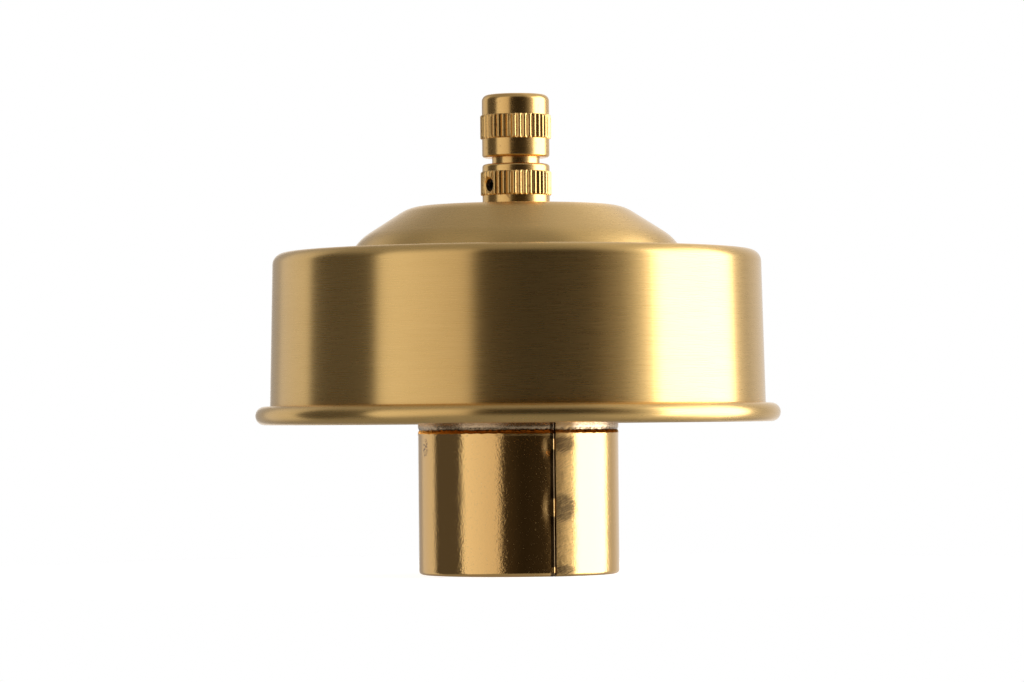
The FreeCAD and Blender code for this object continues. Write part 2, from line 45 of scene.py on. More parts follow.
def filletPath(corners, arcStep=5.0):
    # Straight runs through corners (radius, height, fillet). A fillet is the arc of that radius that touches both
    # runs: its centre lies on the bisector, fillet / sin(half the corner's angle) from the corner, and it sweeps
    # 180 degrees less that angle. Returns the points and, for each, the unit normal on the left of the way forward.
    places = [np.array(corner[:2], float) for corner in corners]
    points, normals = [], []
    for index, place in enumerate(places):
        fillet = corners[index][2] if len(corners[index]) > 2 else 0.0
        isEnd = index in (0, len(places) - 1)
        before = place - places[index - 1] if index else places[1] - place
        after = places[index + 1] - place if index < len(places) - 1 else before
        before = before / np.linalg.norm(before)
        after = after / np.linalg.norm(after)
        left = np.array([[-before[1], before[0]], [-after[1], after[0]]])
        if isEnd or fillet == 0.0:
            points.append([place] if isEnd else [place, place])
            normals.append(left[:1] if isEnd else left)
            continue
        turn = math.atan2(before[0] * after[1] - before[1] * after[0], before @ after)
        side = math.copysign(1.0, turn)
        centre = place - before * fillet * math.tan(abs(turn) / 2) + left[0] * fillet * side
        steps = max(3, int(abs(math.degrees(turn)) / arcStep) + 1)
        angle = np.linspace(0, turn, steps)
        normal = np.outer(np.cos(angle), left[0]) - np.outer(np.sin(angle), before)
        points.append(centre - side * fillet * normal)
        normals.append(normal)
    return np.vstack(points), np.vstack(normals)


def sheetSection(points, normals, gauge):
    # Both faces of a sheet as one closed section: the outer path forward, then the path moved inwards by the
    # gauge along its normals, backward.
    return np.vstack([points, (points - normals * gauge)[::-1]])


def gridMesh(name, grid, closedRows=True, closedColumns=True, capped=False, sharpAngle=32):
    # grid[row, column] is a point. Each face joins four neighbours, and a closed direction wraps round. The UV map
    # holds metres: U along the first row's columns, V along the first column's rows. Caps join the outer half of
    # an open grid's rows with the inner half, which runs backward.
    rows, columns = grid.shape[:2]
    rowFaces = rows if closedRows else rows - 1
    columnFaces = columns if closedColumns else columns - 1
    row, column = np.meshgrid(np.arange(rowFaces), np.arange(columnFaces), indexing="ij")
    nextRow, nextColumn = (row + 1) % rows, (column + 1) % columns
    corners = [(row, column), (nextRow, column), (nextRow, nextColumn), (row, nextColumn)]
    faces = np.stack([r * columns + c for r, c in corners], axis=-1).reshape(-1, 4)
    wide = np.concatenate([grid, grid[:, :1]], axis=1)
    tall = np.concatenate([grid, grid[:1]], axis=0)
    along = np.concatenate([[0], np.cumsum(np.linalg.norm(np.diff(wide, axis=1), axis=2).max(axis=0))])
    across = np.concatenate([[0], np.cumsum(np.linalg.norm(np.diff(tall[:, 0], axis=0), axis=1))])
    ends = [(row, column), (row + 1, column), (row + 1, column + 1), (row, column + 1)]
    uv = np.stack([np.stack([along[c], across[r]], axis=-1) for r, c in ends], axis=2).reshape(-1, 2)
    if capped:
        half = rows // 2
        outer = np.arange(half - 1)
        ladder = np.stack([outer, rows - 1 - outer, rows - 2 - outer, outer + 1], axis=-1) * columns
        faces = np.vstack([faces, ladder, ladder[:, ::-1] + columns - 1])
        uv = np.vstack([uv, np.zeros((len(ladder) * 8, 2))])
    mesh = bpy.data.meshes.new(name)
    mesh.from_pydata(grid.reshape(-1, 3), [], faces.tolist())
    mesh.uv_layers.new(name="UVMap").data.foreach_set("uv", uv.astype(np.float32).ravel())
    mesh.polygons.foreach_set("use_smooth", np.ones(len(faces), bool))
    mesh.set_sharp_from_angle(angle=math.radians(sharpAngle))
    mesh.update()
    return mesh


def turnedGrid(section, angles):
    # Points (radius, height) carried round Z: x = radius cos(angle), y = radius sin(angle). The section has one
    # point for each row, or one for each row and column where it changes on the way round.
    table = section[:, None] if section.ndim == 2 else section
    radius, height = table[..., 0], table[..., 1]
    return np.stack([radius * np.cos(angles), radius * np.sin(angles), height + 0 * angles], axis=-1)


def roundAngles(count):
    # A full turn in equal steps, without its end, which is its start
    return np.arange(count) * 2 * math.pi / count


def addPiece(mesh, body, slotName, *replaced):
    # Puts a mesh into the scene on its body, in its finish, in place of the solids it replaces
    piece = bpy.data.objects.new(mesh.name, mesh)
    bpy.context.scene.collection.objects.link(piece)
    mesh.materials.append(finishes[slotName])
    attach(piece, body)
    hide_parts(*replaced)
    return piece


# Nodes

def addNode(tree, kind, inputs=None, **settings):
    # Adds a node; an input is a number, a colour or another node's output
    made = tree.nodes.new(kind)
    for key, value in settings.items():
        setattr(made, key, value)
    for key, value in (inputs or {}).items():
        if isinstance(value, bpy.types.NodeSocket):
            tree.links.new(value, made.inputs[key])
        else:
            made.inputs[key].default_value = value
    return made


def calc(tree, operation, *values):
    # One Math node on numbers or outputs
    return addNode(tree, "ShaderNodeMath", dict(enumerate(values)), operation=operation).outputs[0]


def weighted(tree, start, *terms):
    # The sum of each value times its factor, and of the start
    total = None
    for value, factor in terms:
        part = calc(tree, "MULTIPLY", value, factor)
        total = part if total is None else calc(tree, "ADD", total, part)
    return calc(tree, "ADD", total, start) if start else total


def remap(tree, value, fromLow, fromHigh, toLow=0.0, toHigh=1.0, smooth=True):
    # From one range to another and no further, by a smooth step or a straight line
    kind = "SMOOTHSTEP" if smooth else "LINEAR"
    inputs = {0: value, 1: fromLow, 2: fromHigh, 3: toLow, 4: toHigh}
    return addNode(tree, "ShaderNodeMapRange", inputs, interpolation_type=kind).outputs[0]


def mixNumber(tree, factor, first, second):
    return addNode(tree, "ShaderNodeMix", {0: factor, 2: first, 3: second}, data_type="FLOAT").outputs[0]


def mixColour(tree, factor, first, second, blend="MIX"):
    inputs = {0: factor, 6: first, 7: second}
    return addNode(tree, "ShaderNodeMix", inputs, data_type="RGBA", blend_type=blend).outputs[2]


def evenColour(level):
    return (level, level, level, 1)


def objectPlace(tree):
    return addNode(tree, "ShaderNodeTexCoord").outputs["Object"]


def splitPlace(tree):
    # x, y and z of the point, and its distance from the axis, sqrt(x^2 + y^2)
    x, y, z = addNode(tree, "ShaderNodeSeparateXYZ", {0: objectPlace(tree)}).outputs
    squares = [calc(tree, "MULTIPLY", part, part) for part in (x, y)]
    return x, y, z, calc(tree, "SQRT", calc(tree, "ADD", *squares))


def noise(tree, vector, scale, detail=2.0, rough=0.5, distortion=0.0):
    # Cloudy values from 0 to 1; about one cloud to each 1 / scale of the vector
    inputs = {"Vector": vector, "Scale": scale, "Detail": detail, "Roughness": rough, "Distortion": distortion}
    return addNode(tree, "ShaderNodeTexNoise", inputs).outputs[0]


def turnedNoise(tree, around, across, detail=2.0, rough=0.5):
    # Noise at (cos(angle) * around, sin(angle) * around, (z - radius) * across): it is drawn out round the axis, as
    # turning marks are, on walls and on flat faces alike
    nearAxis = 1e-5
    x, y, z, radius = splitPlace(tree)
    safe = calc(tree, "MAXIMUM", radius, nearAxis)
    turned = [calc(tree, "MULTIPLY", calc(tree, "DIVIDE", part, safe), around) for part in (x, y)]
    depth = calc(tree, "MULTIPLY", calc(tree, "SUBTRACT", z, radius), across)
    place = addNode(tree, "ShaderNodeCombineXYZ", {0: turned[0], 1: turned[1], 2: depth}).outputs[0]
    return noise(tree, place, 1.0, detail, rough)


def startMaterial(name):
    material = bpy.data.materials.new(name)
    material.use_nodes = True
    return material, material.node_tree, material.node_tree.nodes["Principled BSDF"]


def setShader(tree, shader, **inputs):
    # Inputs are named as the shader names them, with _ for a space
    for key, value in inputs.items():
        socket = shader.inputs[key.replace("_", " ")]
        if isinstance(value, bpy.types.NodeSocket):
            tree.links.new(value, socket)
        else:
            socket.default_value = value


def bump(tree, value, height, strength=1.0, under=None):
    # Relief of that height in mm, on top of the relief under it
    inputs = {"Height": value, "Distance": height * mm, "Strength": strength}
    if under is not None:
        inputs["Normal"] = under
    return addNode(tree, "ShaderNodeBump", inputs).outputs[0]


# Camera and light

cameraLook = {
    "lens": 158.5, "sensor": 36.0,      # both in mm, as the camera takes them
    "eye": (-1.08 * mm, -900 * mm, 28.0 * mm),
    "aim": (-1.08 * mm, 0.0, 46.5 * mm),
    "roll": -0.485,         # degrees
}


def addCamera(look):
    # It looks from the eye to the aim, then rolls about that line
    data = bpy.data.cameras.new("camera")
    data.lens = look["lens"]
    data.sensor_width = look["sensor"]
    camera = bpy.data.objects.new("camera", data)
    bpy.context.scene.collection.objects.link(camera)
    camera.location = look["eye"]
    facing = (Vector(look["aim"]) - Vector(look["eye"])).to_track_quat("-Z", "Y").to_matrix()
    roll = Euler((0, 0, math.radians(look["roll"]))).to_matrix()
    camera.rotation_euler = (facing @ roll).to_euler()
    bpy.context.scene.camera = camera


# Studio light, read by the direction in which a ray leaves the lamp. Azimuth 0 is the camera's side and +90 the
# right; level 1 is white paper, and warmth takes green and blue away.
studioLook = {
    "bands": [
        (-180, 1.0, 0), (-171, 1.0, 0), (-167, 0.38, 0), (-148, 0.38, 0), (-144, 0.62, 0), (-114, 0.66, 0),
        (-111, 0.085, 0.3), (-69.5, 0.085, 0.3), (-67.5, 0.90, 0), (-23, 0.66, 0.3), (-19, 0.05, 1), (4, 0.02, 1),
        (30, 0.03, 1), (37, 0.055, 1), (41, 0.12, 0.6), (50, 0.22, 0.3), (58, 0.55, 0), (66, 1.1, 0),
        (69, 3.9, -0.15), (117, 3.9, -0.15), (122, 0.80, 0), (134, 0.48, 0), (144, 0.60, 0), (168, 0.75, 0),
        (172, 1.0, 0), (180, 1.0, 0),
    ],
    "warmTint": (0.0, 0.20, 0.42),
    "topLevel": 4.0,
    "overhead": {"x": (-0.16, 0.24), "lean": 0.6, "middle": 0.44, "level": (0.31, 0.60)},
    "overBack": {"y": (0.70, 0.95), "level": 0.48, "share": 0.85},
    "below": {"x": (0.25, 0.75), "level": (0.27, 0.62)},
    "frontTurn": (0.3, 0.9),        # how far towards the camera a ray points, from the sides' window to the front's
    "topWindow": {"side": (20.0, 50.0), "front": (45.0, 75.0)},
    "sideTurn": (0.4, 0.9),         # the same sideways, for the lower window
    "lowWindow": {"front": (-8.0, -30.0), "side": (-16.0, -46.0)},
}


def addStudio(look):
    # Bands by azimuth near the level; above them the overhead light and below them the paper, each between its two
    # elevations; the camera itself sees white
    world = bpy.data.worlds.new("studio")
    bpy.context.scene.world = world
    world.use_nodes = True
    tree = world.node_tree
    tree.nodes.clear()
    ray = addNode(tree, "ShaderNodeTexCoord").outputs["Generated"]
    x, y, z = addNode(tree, "ShaderNodeSeparateXYZ", {0: ray}).outputs
    front = calc(tree, "MULTIPLY", y, -1.0)
    azimuth = calc(tree, "ARCTAN2", x, front)
    turn = calc(tree, "ADD", calc(tree, "DIVIDE", azimuth, 2 * math.pi), 0.5)
    ramp = addNode(tree, "ShaderNodeValToRGB", {0: turn})
    for index, (degrees, level, warmth) in enumerate(look["bands"]):
        place = (degrees + 180) / 360
        stop = ramp.color_ramp.elements[index] if index < 2 else ramp.color_ramp.elements.new(place)
        stop.position = place
        stop.color = [level * (1 - warmth * part) / look["topLevel"] for part in look["warmTint"]] + [1]
    bands = mixColour(tree, 1.0, ramp.outputs[0], evenColour(look["topLevel"]), "MULTIPLY")
    over, back = look["overhead"], look["overBack"]
    leaning = calc(tree, "ADD", x, calc(tree, "MULTIPLY", calc(tree, "SUBTRACT", y, over["middle"]), over["lean"]))
    overhead = remap(tree, leaning, *over["x"], *over["level"])
    overhead = mixNumber(tree, remap(tree, y, *back["y"], 0.0, back["share"]), overhead, back["level"])
    below = remap(tree, x, *look["below"]["x"], *look["below"]["level"])
    elevation = calc(tree, "DEGREES", calc(tree, "ARCSINE", z))
    frontShare = remap(tree, front, *look["frontTurn"])
    sideShare = remap(tree, calc(tree, "ABSOLUTE", x), *look["sideTurn"])
    top, bottom = look["topWindow"], look["lowWindow"]
    topEnds = [mixNumber(tree, frontShare, top["side"][end], top["front"][end]) for end in (0, 1)]
    lowEnds = [mixNumber(tree, sideShare, bottom["front"][end], bottom["side"][end]) for end in (0, 1)]
    high = remap(tree, elevation, *topEnds)
    low = remap(tree, elevation, lowEnds[1], lowEnds[0], 1.0, 0.0)
    shown = mixColour(tree, high, bands, overhead)
    shown = mixColour(tree, low, shown, below)
    lit = addNode(tree, "ShaderNodeBackground", {0: shown, 1: 1.0})
    paper = addNode(tree, "ShaderNodeBackground", {0: evenColour(1), 1: 1.0})
    isCamera = addNode(tree, "ShaderNodeLightPath").outputs["Is Camera Ray"]
    both = addNode(tree, "ShaderNodeMixShader", {0: isCamera, 1: lit.outputs[0], 2: paper.outputs[0]})
    output = addNode(tree, "ShaderNodeOutputWorld")
    tree.links.new(both.outputs[0], output.inputs["Surface"])


floorLook = {
    "radius": 150.0 * mm, "centre": 0.001 * mm, "rings": 40, "columns": 96, "drop": 0.05 * mm,
    "fade": (50.0 * mm, 147.0 * mm), "glow": 0.86, "paper": 0.8,
}


def addFloor(look):
    # A round sheet of white paper: its rows are circles of growing radius. It fades out towards its edge, glows to
    # full white for the camera alone, and mirrors don't see it.
    radii = np.linspace(look["centre"], look["radius"], look["rings"])
    section = np.stack([radii, np.full_like(radii, -look["drop"])], axis=-1)
    mesh = gridMesh("floor", turnedGrid(section, roundAngles(look["columns"])), closedRows=False)
    material, tree, shader = startMaterial("white paper")
    fade = remap(tree, splitPlace(tree)[3], *look["fade"])
    path = addNode(tree, "ShaderNodeLightPath").outputs
    glow = calc(tree, "MULTIPLY", path["Is Camera Ray"], look["glow"])
    fade = calc(tree, "MAXIMUM", fade, path["Is Glossy Ray"])
    paper = addNode(tree, "ShaderNodeBsdfDiffuse", {0: evenColour(look["paper"])})
    light = addNode(tree, "ShaderNodeEmission", {0: evenColour(1), 1: glow})
    both = addNode(tree, "ShaderNodeAddShader", {0: paper.outputs[0], 1: light.outputs[0]})
    clear = addNode(tree, "ShaderNodeBsdfTransparent")
    shown = addNode(tree, "ShaderNodeMixShader", {0: fade, 1: both.outputs[0], 2: clear.outputs[0]})
    tree.links.new(shown.outputs[0], tree.nodes["Material Output"].inputs["Surface"])
    tree.nodes.remove(shader)
    floor = bpy.data.objects.new("floor", mesh)
    bpy.context.scene.collection.objects.link(floor)
    mesh.materials.append(material)


bpy.context.scene.view_settings.view_transform = "Standard"
addCamera(cameraLook)
addStudio(studioLook)
addFloor(floorLook)
print("camera, studio and floor done")


# Finishes. In the dictionaries a noise is (scale, detail, roughness), and one drawn out round the axis is (around,
# across, detail, roughness). "Range" is the values between which a mask rises from 0 to 1, or from its third number
# to its fourth. "Rough" is what a mask adds to the roughness, and relief is (height in mm, strength).

satinLook = {
    "dark": (0.80, 0.515, 0.185, 1), "bright": (0.92, 0.60, 0.23, 1), "toneRange": (0.3, 0.7),
    "marks": (9.0, 4200.0, 3.0, 0.6), "streaks": (3.0, 900.0, 3.0, 0.6), "drift": (45.0, 3.0),
    "marksTone": 0.5, "streaksTone": 0.25, "driftTone": 0.25,
    "roughness": 0.24, "marksRough": 0.08, "anisotropic": 0.9, "grainTurn": 0.25, "relief": (0.0025, 0.5),
}


def satinBrass(look):
    # Spun and brushed: fine marks drawn out round the axis blur what it mirrors mostly up and down
    material, tree, shader = startMaterial("satin brass")
    marks, streaks = turnedNoise(tree, *look["marks"]), turnedNoise(tree, *look["streaks"])
    drift = noise(tree, objectPlace(tree), *look["drift"])
    shares = (marks, look["marksTone"]), (streaks, look["streaksTone"]), (drift, look["driftTone"])
    tone = remap(tree, weighted(tree, 0.0, *shares), *look["toneRange"], smooth=False)
    setShader(tree, shader, Base_Color=mixColour(tree, tone, look["dark"], look["bright"]), Metallic=1.0,
              Roughness=weighted(tree, look["roughness"], (marks, look["marksRough"])),
              Anisotropic=look["anisotropic"], Anisotropic_Rotation=look["grainTurn"],
              Tangent=addNode(tree, "ShaderNodeTangent", direction_type="UV_MAP", uv_map="UVMap").outputs[0],
              Normal=bump(tree, marks, *look["relief"]))
    return material


turnedLook = {
    "bright": (0.88, 0.545, 0.195, 1), "dull": (0.62, 0.36, 0.13, 1), "ribsFrom": (6.76 * mm, 6.84 * mm),
    "feed": (1.2, 5200.0, 2.0, 0.6), "specks": (900.0, 3.0), "specksRange": (0.60, 0.72),
    "roughness": 0.17, "feedRough": 0.10, "specksRough": 0.12, "ribsRough": 0.07, "relief": (0.002, 0.6),
}


def turnedBrass(look):
    # Turned bright: fine feed marks round the axis and a few handling specks; the ribs, outside ribsFrom, are duller
    material, tree, shader = startMaterial("turned brass")
    ribs = remap(tree, splitPlace(tree)[3], *look["ribsFrom"])
    feed = turnedNoise(tree, *look["feed"])
    specks = remap(tree, noise(tree, objectPlace(tree), *look["specks"]), *look["specksRange"])
    shares = (feed, look["feedRough"]), (specks, look["specksRough"]), (ribs, look["ribsRough"])
    setShader(tree, shader, Base_Color=mixColour(tree, specks, look["bright"], look["dull"]), Metallic=1.0,
              Roughness=weighted(tree, look["roughness"], *shares), Normal=bump(tree, feed, *look["relief"]))
    return material


plainLook = {
    "bright": (0.82, 0.56, 0.23, 1), "tarnished": (0.58, 0.37, 0.15, 1),
    "marks": (3.0, 3000.0), "tarnish": (160.0, 4.0, 0.6), "tarnishRange": (0.45, 0.68),
    "roughness": 0.2, "tarnishRough": 0.15, "marksRough": 0.12, "relief": (0.003, 0.6),
}


def plainBrass(look):
    # As machined or pressed: dull marks, slightly tarnished in patches
    material, tree, shader = startMaterial("plain brass")
    marks = turnedNoise(tree, *look["marks"])
    tarnish = remap(tree, noise(tree, objectPlace(tree), *look["tarnish"]), *look["tarnishRange"])
    shares = (tarnish, look["tarnishRough"]), (marks, look["marksRough"])
    setShader(tree, shader, Base_Color=mixColour(tree, tarnish, look["bright"], look["tarnished"]), Metallic=1.0,
              Roughness=weighted(tree, look["roughness"], *shares), Normal=bump(tree, marks, *look["relief"]))
    return material


# Lengths on the sleeve are in mm: across is the way round from the seam's edge, height is from the foot.
polishLook = {
    "bright": (0.92, 0.57, 0.215, 1), "grey": (0.42, 0.36, 0.31, 1), "scuffed": (0.47, 0.285, 0.10, 1),
    # this dark colour serves the soot at the welds, the dirt at the seam's step and the painted shade in the crease
    "dirtAndShade": (0.085, 0.055, 0.030, 1), "rusty": (0.10, 0.045, 0.03, 1),
    "layers": [     # masks in the order in which they lie on the bright metal, with colour and strength
        ("duller", "grey", 0.6), ("specks", "grey", 0.12), ("scuffs", "scuffed", 0.90), ("soot", "dirtAndShade", 0.82),
        ("joggle", "dirtAndShade", 0.92), ("creaseShade", "dirtAndShade", 0.85), ("rust", "rusty", 1.0),
    ],
    "top": 59.0,        # the sheet's upper edge
    "roughness": 0.045, "specksRough": 0.20, "dullerRough": 0.22, "brushedRough": 0.24, "scratchRough": 0.18,
    # the ripple of thin sheet, and specks
    "swell": (160.0, 1.0), "swellHeight": 0.05, "peel": (1500.0, 2.0), "peelHeight": 0.018,
    "fine": (2700.0, 3.0, 0.6), "fineHeight": 0.022, "specks": (2400.0, 4.0, 0.7), "specksRange": (0.56, 0.67),
    # scratches along two slanting ways, turned by radians; each layer is (which way, noise, range, strength)
    "scratchTurns": (-0.45, 0.95), "scratchLength": 2.4, "scratchWidth": 0.15, "scratchDepth": 0.006,
    "scratches": [(0, (1.0, 2.0), (0.52, 0.66), 1.0), (1, (1.0, 2.0), (0.60, 0.70), 0.8)],
    "hairs": [(1, (1.6, 2.0), (0.60, 0.68), 1.0), (0, (1.8, 2.0), (0.61, 0.69), 0.8)],
    "handledFrom": (114.0, 124.0), "handledRough": (0.03, 0.22),
    # the brushed strip by the seam
    "brushedTo": (3.4, 5.2), "brushedWaver": 0.6, "scuffs": (1.3, 4.0, 0.75), "scuffsRange": (0.44, 0.56, 0.42, 1.0),
    # spot welds (height, reach) with soot, and the step in which the sheet goes under its own edge
    "welds": [(25.8, 1.7), (13.4, 2.8), (1.2, 0.9)], "weldedRange": (0.2, 0.5),
    "sootSpread": 1.35, "sootAcross": (1.6, 3.6), "sootRange": (0.05, 0.45), "jag": (0.7, 3.0, 0.6), "jagReach": 3.2,
    "sootPatches": (1.0, 4.0, 0.75), "patchRange": (0.40, 0.52, 0.35, 1.0), "joggle": (125.0, 125.2),
    # the dull sheet above the crease, painted shade darkening the crease, and a rust spot
    "duller": (28.7, 29.3), "dullerWaver": 0.5, "creaseShade": (28.75, 0.42), "creaseShadeWaver": 1.6,
    "rustAcross": (95.3, 1.9), "rustHeight": (25.2, 2.66), "rustRange": (0.05, 0.5),
    "grit": (2600.0, 3.0, 0.7), "gritRange": (0.50, 0.58),
}


def bell(tree, value, middle, reach):
    # 1 at the middle, falling to 0 at the reach
    away = calc(tree, "ABSOLUTE", calc(tree, "SUBTRACT", value, middle * mm))
    return remap(tree, away, 0.0, reach * mm, 1.0, 0.0)


def between(tree, value, ends, toLow=0.0, toHigh=1.0):
    # A smooth step between two places in mm
    return remap(tree, value, ends[0] * mm, ends[1] * mm, toLow, toHigh)


def strongest(tree, ways, layers):
    # The higher of two layers of noise, each drawn out along its way
    masks = [remap(tree, noise(tree, ways[way], *kind), *span, 0.0, strength) for way, kind, span, strength in layers]
    return calc(tree, "MAXIMUM", *masks)


def weldMarks(tree, look, across, height, slant):
    # Where the sheet is welded, and the soot round it, whose edges are jagged
    welded, soot = 0.0, 0.0
    waver = calc(tree, "SUBTRACT", noise(tree, slant, *look["jag"]), 0.5)
    jag = calc(tree, "MULTIPLY", waver, look["jagReach"] * mm)
    raggedAcross, raggedHeight = calc(tree, "ADD", across, jag), calc(tree, "ADD", height, jag)
    for middle, reach in look["welds"]:
        spot = remap(tree, bell(tree, height, middle, reach), *look["weldedRange"])
        welded = calc(tree, "MAXIMUM", welded, spot)
        near = calc(tree, "MULTIPLY", bell(tree, raggedHeight, middle, reach * look["sootSpread"]),
                    bell(tree, raggedAcross, *look["sootAcross"]))
        soot = calc(tree, "MAXIMUM", soot, near)
    patchy = remap(tree, noise(tree, slant, *look["sootPatches"]), *look["patchRange"])
    return welded, calc(tree, "MULTIPLY", remap(tree, soot, *look["sootRange"]), patchy)


def polishedBrass(look):
    # Mirror polished thin sheet with an orange-peel ripple. The UV map's U is the way round from the seam's edge and
    # the top less V is the height. By the seam the sheet is brushed, and sooty at the welds; before it there are
    # handling scratches; above the crease it is dull, and along the crease a dark line is painted shade.
    material, tree, shader = startMaterial("polished brass")
    place = objectPlace(tree)
    sheet = addNode(tree, "ShaderNodeUVMap", uv_map="UVMap").outputs[0]
    across, down = addNode(tree, "ShaderNodeSeparateXYZ", {0: sheet}).outputs[:2]
    height = calc(tree, "SUBTRACT", look["top"] * mm, down)
    peel = noise(tree, place, *look["peel"])
    # Scratches: noise drawn out along two slanting directions of the sheet
    size = (look["scratchLength"] * mm, look["scratchWidth"] * mm, mm)
    ways = [addNode(tree, "ShaderNodeMapping", {"Vector": sheet, "Rotation": (0, 0, turn), "Scale": size},
                    vector_type="TEXTURE").outputs[0] for turn in look["scratchTurns"]]
    scratches, hairs = strongest(tree, ways, look["scratches"]), strongest(tree, ways, look["hairs"])
    brushed = between(tree, weighted(tree, across, (peel, look["brushedWaver"] * mm)), look["brushedTo"], 1.0, 0.0)
    welded, soot = weldMarks(tree, look, across, height, ways[0])
    spot = calc(tree, "MULTIPLY", bell(tree, height, *look["rustHeight"]), bell(tree, across, *look["rustAcross"]))
    grit = remap(tree, noise(tree, place, *look["grit"]), *look["gritRange"])
    scuffs = remap(tree, noise(tree, ways[0], *look["scuffs"]), *look["scuffsRange"])
    creaseShadeHeight = weighted(tree, height, (calc(tree, "SUBTRACT", peel, 0.5), look["creaseShadeWaver"] * mm))
    masks = {
        "duller": between(tree, weighted(tree, height, (peel, look["dullerWaver"] * mm)), look["duller"]),
        "specks": remap(tree, noise(tree, place, *look["specks"]), *look["specksRange"]),
        "scuffs": calc(tree, "MULTIPLY", scuffs, brushed),
        "soot": soot,
        "joggle": calc(tree, "MULTIPLY", between(tree, across, look["joggle"]), calc(tree, "SUBTRACT", 1.0, welded)),
        # painted shade: a dark wavering line along the crease, where the groove lies in shade
        "creaseShade": bell(tree, creaseShadeHeight, *look["creaseShade"]),
        "rust": calc(tree, "MULTIPLY", remap(tree, spot, *look["rustRange"]), grit),
    }
    colour = look["bright"]
    for mask, shade, strength in look["layers"]:
        colour = mixColour(tree, calc(tree, "MULTIPLY", masks[mask], strength), colour, look[shade])
    brushing = weighted(tree, look["brushedRough"], (scratches, look["scratchRough"]))
    handled = between(tree, across, look["handledFrom"], *look["handledRough"])
    rough = weighted(tree, look["roughness"], (masks["specks"], look["specksRough"]),
                     (masks["duller"], look["dullerRough"]), (brushed, brushing), (hairs, handled))
    normal = bump(tree, noise(tree, place, *look["swell"]), look["swellHeight"])
    normal = bump(tree, peel, look["peelHeight"], under=normal)
    normal = bump(tree, noise(tree, place, *look["fine"]), look["fineHeight"], under=normal)
    raised = calc(tree, "MULTIPLY", calc(tree, "MULTIPLY", scratches, brushed), -1.0)
    normal = bump(tree, raised, look["scratchDepth"], under=normal)
    setShader(tree, shader, Base_Color=colour, Metallic=1.0, Roughness=rough, Normal=normal)
    return material


mottledLooks = {
    "zinc_steel": {         # cool grey with a crystalline mottle
        "name": "zinc plated steel", "metallic": 1.0, "mottle": (1300.0, 3.0, 0.6), "roughness": 0.22,
        "mottleRough": 0.2, "colours": ((0.52, 0.53, 0.55, 1), (0.70, 0.71, 0.73, 1)), "relief": (0.004, 0.5),
    },
    "black_steel": {        # chemically blackened, oily, with brown showing where it is worn
        "name": "blackened steel", "metallic": 1.0, "mottle": (1500.0, 3.0, 0.6), "wornRange": (0.5, 0.7),
        "roughness": 0.28, "mottleRough": 0.2, "colours": ((0.045, 0.040, 0.036, 1), (0.13, 0.10, 0.075, 1)),
        "relief": (0.003, 0.5),
    },
    "black_moulding": {     # pressed phenolic: nearly black and glossy, with a faint flow mottle and fine pits
        "name": "black moulding", "metallic": 0.0, "mottle": (240.0, 4.0, 0.6, 0.8), "pits": (3000.0, 2.0),
        "roughness": 0.22, "mottleRough": 0.15, "colours": ((0.018, 0.016, 0.015, 1), (0.042, 0.038, 0.036, 1)),
        "relief": (0.004, 0.5),
    },
    "white_ceramic": {      # dry pressed: warm white with small dark grains and a slightly uneven glaze
        "name": "white ceramic", "metallic": 0.0, "mottle": (420.0, 5.0, 0.65), "grains": (2600.0, 3.0),
        "grainsRange": (0.68, 0.76), "grainColour": (0.52, 0.47, 0.40, 1), "roughness": 0.3, "mottleRough": 0.3,
        "colours": ((0.80, 0.78, 0.72, 1), (0.90, 0.89, 0.85, 1)), "relief": (0.02, 0.5),
    },
    "white_nylon": {        # moulded: matt and slightly waxy
        "name": "white nylon", "metallic": 0.0, "mottle": (700.0, 4.0, 0.6), "roughness": 0.4, "mottleRough": 0.2,
        "colours": ((0.76, 0.75, 0.70, 1), (0.86, 0.85, 0.81, 1)), "relief": (0.01, 0.4),
    },
}


def mottledFinish(look):
    # One mottle mixes two colours, dulls and gives relief. Some have it only where worn, grains of a third colour, or
    # pits as the relief.
    material, tree, shader = startMaterial(look["name"])
    place = objectPlace(tree)
    mottle = noise(tree, place, *look["mottle"])
    if "wornRange" in look:
        mottle = remap(tree, mottle, *look["wornRange"])
    colour = mixColour(tree, mottle, *look["colours"])
    if "grains" in look:
        grains = remap(tree, noise(tree, place, *look["grains"]), *look["grainsRange"])
        colour = mixColour(tree, grains, colour, look["grainColour"])
    surface = noise(tree, place, *look["pits"]) if "pits" in look else mottle
    setShader(tree, shader, Base_Color=colour, Metallic=look["metallic"],
              Roughness=weighted(tree, look["roughness"], (mottle, look["mottleRough"])),
              Normal=bump(tree, surface, *look["relief"]))
    return material


finishes = {
    "satin_brass": satinBrass(satinLook),
    "turned_brass": turnedBrass(turnedLook),
    "polished_brass": polishedBrass(polishLook),
    "plain_brass": plainBrass(plainLook),
}
for slotName, mottledLook in mottledLooks.items():
    finishes[slotName] = mottledFinish(mottledLook)
print("finishes done")


# Spun shade

shadeLook = {
    "gauge": 0.8, "holeRadius": 5.15, "top": 73.4, "crownRadius": 21.21, "crownFillet": 8.0,
    "breakRadius": 31.17, "breakHeight": 67.05, "breakFillet": 10.0, "footRadius": 33.1, "shelf": 64.3,
    "footFillet": 1.2, "drumRadius": 48.7, "shoulderFillet": 2.4, "rimRadius": 49.46, "curlHeight": 31.9,
    "curlRadius": 1.05, "curlStart": 181.35, "curlSweep": 300.9, "curlRows": 48, "columns": 256,
}


